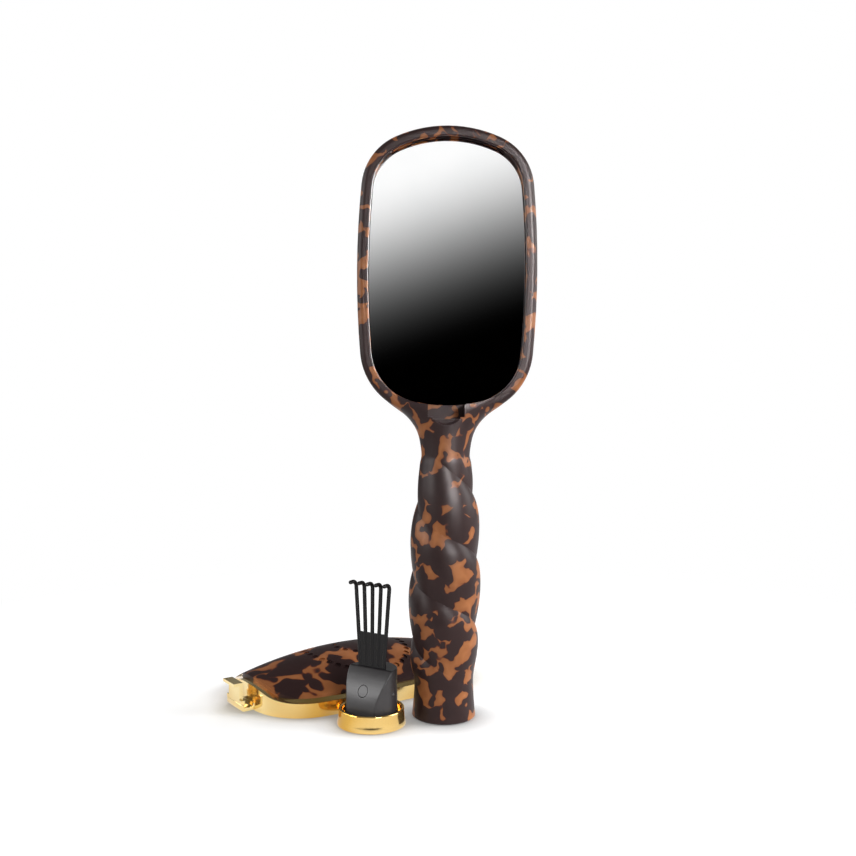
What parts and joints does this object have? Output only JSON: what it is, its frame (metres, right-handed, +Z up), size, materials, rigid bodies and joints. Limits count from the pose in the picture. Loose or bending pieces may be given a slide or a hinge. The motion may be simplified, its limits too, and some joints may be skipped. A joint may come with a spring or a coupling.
{
  "type": "boar bristle grooming brush",
  "caption": "Oval-headed boar bristle brush with a twisted hollow handle, a mirror in the back of its head, a clip-on domed cover and a cleaning rake that stores in the handle.",
  "frame": {"origin": "centre of the handle's open foot, on the table that the three groups stand on", "axes": "+Z up the handle, +Y from the mirror side towards the bristle side, +X to the right as seen facing the mirror"},
  "size_m": [0.1263, 0.1095, 0.2345],
  "materials": {
    "tortoiseshell": "satin, brown and amber tortoiseshell",
    "mirror": "polished",
    "foam_tape": "foam",
    "base_plastic": "matt",
    "cushion_rubber": "matt rubber",
    "boar_bristle": "natural boar hair, dark brown with paler tips",
    "gold": "satin gold plate",
    "black_plastic": "satin black"
  },
  "bodies": {
    "frame": {"handle_frame": "tortoiseshell", "mirror_glass": "mirror", "mirror_tape": "foam_tape", "bristle_base": "base_plastic", "bristle_cushion": "cushion_rubber", "bristle_row_01": "boar_bristle", "bristle_row_02": "boar_bristle", "bristle_row_03": "boar_bristle", "bristle_row_04": "boar_bristle", "bristle_row_05": "boar_bristle", "bristle_row_06": "boar_bristle", "bristle_row_07": "boar_bristle", "bristle_row_08": "boar_bristle", "bristle_row_09": "boar_bristle", "bristle_row_10": "boar_bristle", "bristle_row_11": "boar_bristle", "bristle_row_12": "boar_bristle", "bristle_row_13": "boar_bristle"},
    "cover": {"cover_rim": "gold", "cover_dome": "tortoiseshell", "latch_bend": "gold"},
    "latch": {"latch_clip": "gold"},
    "tool": {"tool_cup": "gold", "tool_plug": "black_plastic", "rake_pin": "black_plastic", "tool_rake": "black_plastic"}
  },
  "joints": [
    {"name": "cover_lift", "type": "slide", "parent": "frame", "child": "cover", "axis": [0, 0, 1], "range_m": [0, 0.06]},
    {"name": "latch_press", "type": "hinge", "parent": "cover", "child": "latch", "pos_m": [-0.08282, 0.00754, 0.00105], "axis": [-0.592, 0.8059, 0], "range_deg": [0, 12], "stiffness_Nm_per_rad": 0.19, "deforming": ["latch_bend"]},
    {"name": "tool_lift", "type": "slide", "parent": "frame", "child": "tool", "axis": [0, 0, 1], "range_m": [0, 0.05]}
  ]
}
